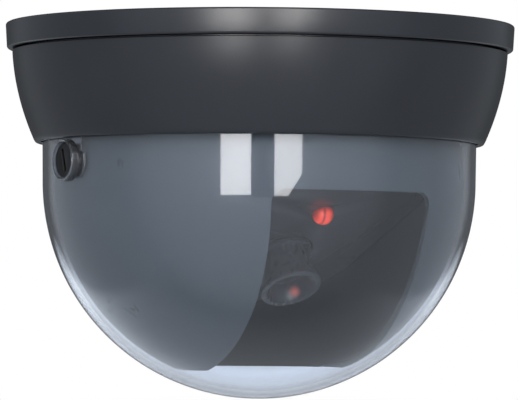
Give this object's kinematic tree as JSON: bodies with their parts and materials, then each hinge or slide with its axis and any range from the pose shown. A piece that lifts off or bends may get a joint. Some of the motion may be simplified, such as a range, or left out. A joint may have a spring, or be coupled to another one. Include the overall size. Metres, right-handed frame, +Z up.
{
  "type": "dome cctv camera",
  "caption": "Ceiling dome security camera: round black base, clear dome over a panning black liner with a window, and a tilting camera module with lens and indicator lamp.",
  "frame": {"origin": "centre of the ceiling face, on the axis of the base, the dome and the cable bore", "axes": "+Z up into the ceiling; the camera module looks towards -Y and down at rest; +X is across the module, along the tilt axis"},
  "size_m": [0.12, 0.12, 0.088],
  "materials": {
    "satin_black": "satin, fine moulded grain",
    "black_rubber": "matte",
    "zinc_steel": "bright zinc plate",
    "spring_steel": "stamped, satin",
    "black_steel": "blackened",
    "circuit_board": "green solder mask, semi-gloss",
    "chip_black": "moulded epoxy",
    "capacitor_metal": "sleeved can",
    "ferrite": "pressed ferrite",
    "terminal_green": "moulded",
    "connector_ivory": "moulded nylon",
    "wire_jacket": "soft PVC jacket",
    "slip_plastic": "acetal",
    "module_black": "satin",
    "liner_black": "semi-gloss",
    "face_black": "fine satin",
    "lens_black": "satin, turned",
    "lens_glass": "coated optical glass",
    "filter_glass": "coated filter",
    "sensor_glass": "sensor window over a dark die",
    "red_led": "tinted diffused resin",
    "tinned_wire": "tinned",
    "clear_dome": "clear acrylic",
    "lock_black": "blackened, satin"
  },
  "bodies": {
    "root": {"base_plate": "satin_black", "cable_grommet": "black_rubber", "trim_housing": "satin_black", "housing_screws": "zinc_steel", "dome_gasket": "black_rubber", "lock_keeper": "spring_steel", "keeper_screw": "zinc_steel", "main_board": "circuit_board", "board_screws": "zinc_steel", "processor_chip": "chip_black", "memory_chips": "chip_black", "capacitors": "capacitor_metal", "power_inductor": "ferrite", "terminal_block": "terminal_green", "terminal_screws": "zinc_steel", "board_connector": "connector_ivory", "harness_upper": "wire_jacket", "thrust_washer": "slip_plastic", "wave_washer": "spring_steel", "pan_retainer": "spring_steel", "retainer_screws": "zinc_steel"},
    "pan_head": {"turntable": "module_black", "yoke_left": "module_black", "yoke_right": "module_black", "yoke_screws": "zinc_steel", "liner": "liner_black", "liner_screws": "zinc_steel", "harness_lower": "wire_jacket"},
    "camera_module": {"module_carrier": "module_black", "module_face": "face_black", "face_screws": "zinc_steel", "sensor_board": "circuit_board", "sensor_board_screws": "zinc_steel", "image_sensor": "sensor_glass", "ir_cut_filter": "filter_glass", "lens_holder": "module_black", "lens_holder_screws": "zinc_steel", "sensor_connector": "connector_ivory", "harness_plug": "connector_ivory", "indicator_led": "red_led", "led_leads": "tinned_wire", "tilt_washers": "slip_plastic", "tilt_lock_screws": "black_steel"},
    "lens": {"lens_barrel": "lens_black", "lens_front_glass": "lens_glass", "lens_inner_glass": "lens_glass", "lens_retaining_ring": "lens_black", "focus_lock_ring": "lens_black"},
    "dome": {"dome_cover": "clear_dome"},
    "dome_lock": {"lock_plug": "lock_black", "lock_cam": "spring_steel", "cam_rivet": "zinc_steel", "lock_seal": "black_rubber"}
  },
  "joints": [
    {"name": "pan", "type": "hinge", "parent": "root", "child": "pan_head", "pos_m": [0, 0, -0.016], "axis": [0, 0, 1], "range_deg": [-175, 175]},
    {"name": "tilt", "type": "hinge", "parent": "pan_head", "child": "camera_module", "pos_m": [0, 0, -0.037], "axis": [1, 0, 0], "range_deg": [-28, 32]},
    {"name": "lens_focus", "type": "hinge", "parent": "camera_module", "child": "lens", "pos_m": [0, 0, -0.037], "axis": [0, -0.5299, -0.848], "range_deg": [-90, 90]},
    {"name": "dome_drop", "type": "slide", "parent": "root", "child": "dome", "axis": [0, 0, -1], "range_m": [0, 0.07]},
    {"name": "lock_turn", "type": "hinge", "parent": "dome", "child": "dome_lock", "pos_m": [-0.05047, -0.00176, -0.0334], "axis": [-0.9994, -0.0349, 0], "range_deg": [0, 90]}
  ]
}
